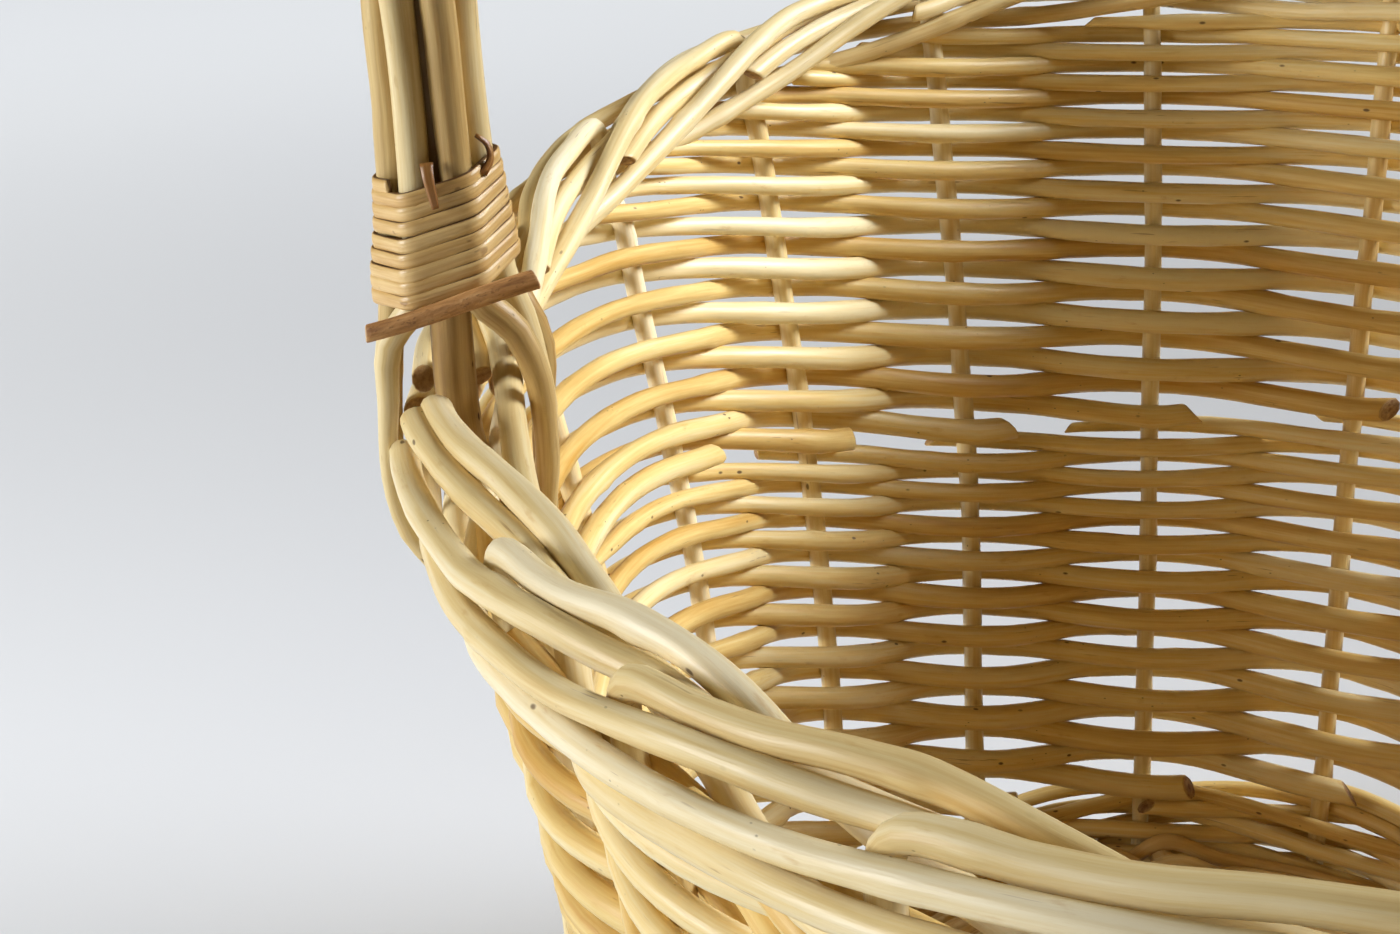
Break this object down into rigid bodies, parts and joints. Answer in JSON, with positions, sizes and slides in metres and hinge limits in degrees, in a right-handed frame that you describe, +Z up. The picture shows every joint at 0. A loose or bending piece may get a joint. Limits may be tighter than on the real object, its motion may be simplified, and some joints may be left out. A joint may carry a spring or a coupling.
{
  "type": "willow gift basket",
  "caption": "Oval woven willow gift basket with flared stake-and-strand siding, a rolled rod rim and a fixed overhead rod handle bound with skein at both feet.",
  "frame": {"origin": "middle of the underside, on the surface that the basket stands on", "axes": "+Z up, +X across the oval to one handle foot, +Y along the oval"},
  "size_m": [0.3094, 0.3818, 0.4096],
  "materials": {
    "willow_rod": "peeled willow rod, satin, pale straw with darker streaks, knot scars and cut ends",
    "willow_siding": "woven peeled willow, satin, straw to amber",
    "willow_handle": "peeled willow rods, satin, streaked along the grain",
    "skein_binding": "split tan willow skein, slightly glossy",
    "bark_peg": "brown unpeeled willow twig, matt bark, pale cut ends"
  },
  "bodies": {
    "root": {"stake_01": "willow_rod", "stake_02": "willow_rod", "stake_03": "willow_rod", "stake_04": "willow_rod", "stake_05": "willow_rod", "stake_06": "willow_rod", "stake_07": "willow_rod", "stake_08": "willow_rod", "stake_09": "willow_rod", "stake_10": "willow_rod", "stake_11": "willow_rod", "stake_12": "willow_rod", "stake_13": "willow_rod", "stake_14": "willow_rod", "stake_15": "willow_rod", "stake_16": "willow_rod", "stake_17": "willow_rod", "stake_18": "willow_rod", "stake_19": "willow_rod", "stake_20": "willow_rod", "rim_rod_left_1": "willow_rod", "rim_rod_left_2": "willow_rod", "rim_rod_left_3": "willow_rod", "rim_rod_right_1": "willow_rod", "rim_rod_right_2": "willow_rod", "rim_rod_right_3": "willow_rod", "foot_wale": "willow_siding", "siding_lower": "willow_siding", "siding_upper": "willow_siding", "base_weave": "willow_siding", "base_long_stick_1": "willow_rod", "base_long_stick_2": "willow_rod", "base_long_stick_3": "willow_rod", "base_cross_stick_1": "willow_rod", "base_cross_stick_2": "willow_rod", "base_cross_stick_3": "willow_rod", "base_cross_stick_4": "willow_rod", "base_cross_stick_5": "willow_rod", "handle_bow": "willow_handle", "handle_rod_1": "willow_handle", "handle_rod_2": "willow_handle", "handle_rod_3": "willow_handle", "handle_rod_4": "willow_handle", "handle_rod_5": "willow_handle", "handle_rod_6": "willow_handle", "binding_left": "skein_binding", "binding_peg_left": "bark_peg", "binding_right": "skein_binding", "binding_peg_right": "bark_peg"}
  },
  "joints": []
}
